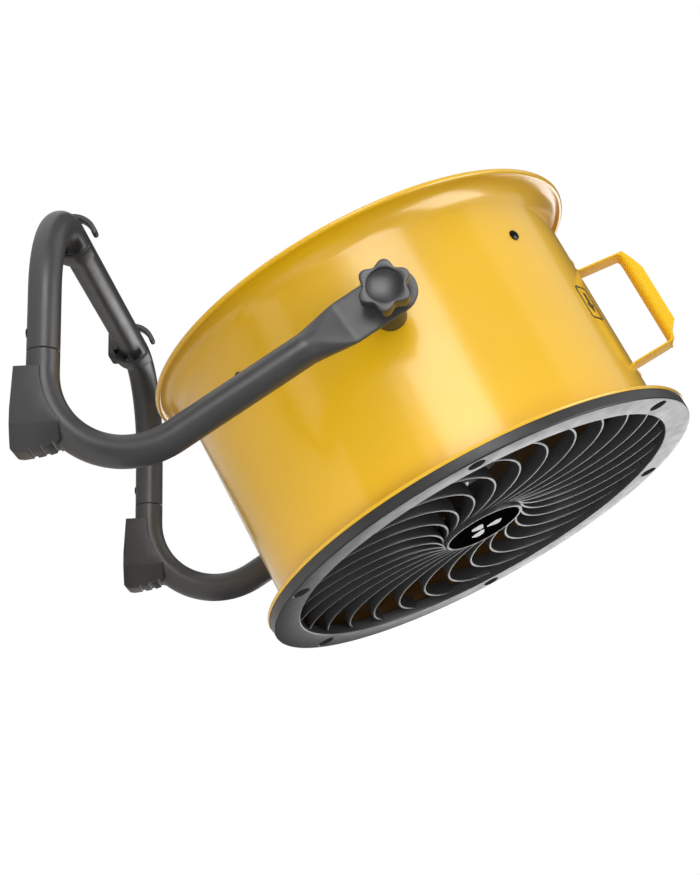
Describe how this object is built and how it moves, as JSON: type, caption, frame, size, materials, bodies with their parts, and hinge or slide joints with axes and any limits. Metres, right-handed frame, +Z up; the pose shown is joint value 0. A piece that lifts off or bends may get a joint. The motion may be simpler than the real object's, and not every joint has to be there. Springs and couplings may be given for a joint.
{
  "type": "axial air mover",
  "caption": "Drum fan for drying floors: yellow tube housing with spiral grille, tilting in a bent-tube stand with rubber feet, clamp knobs and a carrying handle.",
  "frame": {"origin": "on the floor, under the middle of the object's width and depth", "axes": "+Z up; the air leaves towards -Y; the tilt axis runs along X"},
  "size_m": [0.5906, 0.4593, 0.6409],
  "materials": {
    "drum_yellow": "glossy powder coat",
    "stand_grey": "fine-textured satin powder coat",
    "foot_black": "matte moulded rubber",
    "grille_black": "satin moulded plastic",
    "badge_black": "gloss",
    "label_dark": "satin film",
    "knob_black": "satin moulded plastic",
    "screw_black": "black oxide",
    "zinc_steel": "zinc plated",
    "wire_black": "black dip coat",
    "motor_cast": "as cast",
    "motor_grey": "satin enamel",
    "core_steel": "laminated steel",
    "bearing_steel": "ground",
    "copper_wire": "enamelled copper",
    "impeller_black": "glass-filled moulded plastic",
    "control_black": "fine spark texture",
    "capacitor_white": "satin"
  },
  "bodies": {
    "stand": {"base_tube": "stand_grey", "left_arm_tube": "stand_grey", "right_arm_tube": "stand_grey", "left_front_foot": "foot_black", "right_front_foot": "foot_black", "left_cord_clip": "foot_black", "right_cord_clip": "foot_black", "foot_screws": "screw_black", "clip_screws": "screw_black", "tube_rivets": "screw_black"},
    "drum": {"drum_housing": "drum_yellow", "front_grille": "grille_black", "hub_badge": "badge_black", "grille_screws": "screw_black", "drum_label": "label_dark", "handle": "drum_yellow", "handle_screws": "drum_yellow", "rear_guard": "wire_black", "side_screws": "screw_black", "motor_bracket": "wire_black", "motor_rear_bell": "motor_cast", "motor_front_bell": "motor_cast", "motor_shell": "motor_grey", "stator_core": "core_steel", "stator_winding": "copper_wire", "rear_bearing": "bearing_steel", "front_bearing": "bearing_steel", "motor_tie_bolts": "zinc_steel", "motor_mount_bolts": "zinc_steel", "control_box": "control_black", "cable_gland": "control_black", "control_cover": "control_black", "cover_screws": "screw_black", "rotary_switch": "control_black", "run_capacitor": "capacitor_white", "left_spacer": "knob_black", "right_spacer": "knob_black", "left_pivot_doubler": "wire_black", "right_pivot_doubler": "wire_black", "left_pivot_bolt": "zinc_steel", "right_pivot_bolt": "zinc_steel"},
    "rotor": {"motor_shaft": "bearing_steel", "rotor_core": "core_steel", "impeller": "impeller_black", "impeller_washer": "zinc_steel", "impeller_nut": "zinc_steel"},
    "speed_knob": {"speed_knob": "knob_black"},
    "left_washer": {"left_clamp_washer": "zinc_steel"},
    "right_washer": {"right_clamp_washer": "zinc_steel"},
    "left_clamp_knob": {"left_knob": "knob_black", "left_knob_insert": "zinc_steel"},
    "right_clamp_knob": {"right_knob": "knob_black", "right_knob_insert": "zinc_steel"}
  },
  "joints": [
    {"name": "drum_tilt", "type": "hinge", "parent": "stand", "child": "drum", "pos_m": [0, 0.0309, 0.3495], "axis": [-1, 0, 0], "range_deg": [-116, 64]},
    {"name": "fan_spin", "type": "hinge", "parent": "drum", "child": "rotor", "pos_m": [0, -0.01404, 0.37142], "axis": [0, -0.8988, 0.4384], "continuous": true},
    {"name": "speed_turn", "type": "hinge", "parent": "drum", "child": "speed_knob", "pos_m": [0, 0.12078, 0.30566], "axis": [0, 0.8988, -0.4384], "range_deg": [0, 270]},
    {"name": "left_washer_slide", "type": "slide", "parent": "drum", "child": "left_washer", "axis": [-1, 0, 0], "range_m": [0, 0.003]},
    {"name": "left_knob_turn", "type": "hinge", "parent": "left_washer", "child": "left_clamp_knob", "pos_m": [-0.28, 0.0309, 0.3495], "axis": [-1, 0, 0], "range_deg": [0, 720]},
    {"name": "right_washer_slide", "type": "slide", "parent": "drum", "child": "right_washer", "axis": [1, 0, 0], "range_m": [0, 0.003]},
    {"name": "right_knob_turn", "type": "hinge", "parent": "right_washer", "child": "right_clamp_knob", "pos_m": [0.28, 0.0309, 0.3495], "axis": [1, 0, 0], "range_deg": [0, 720]}
  ],
  "couplings": [
    {"joint": "left_washer_slide", "follows": "left_knob_turn", "m_per_rad": 0.000238},
    {"joint": "right_washer_slide", "follows": "right_knob_turn", "m_per_rad": 0.000238}
  ]
}
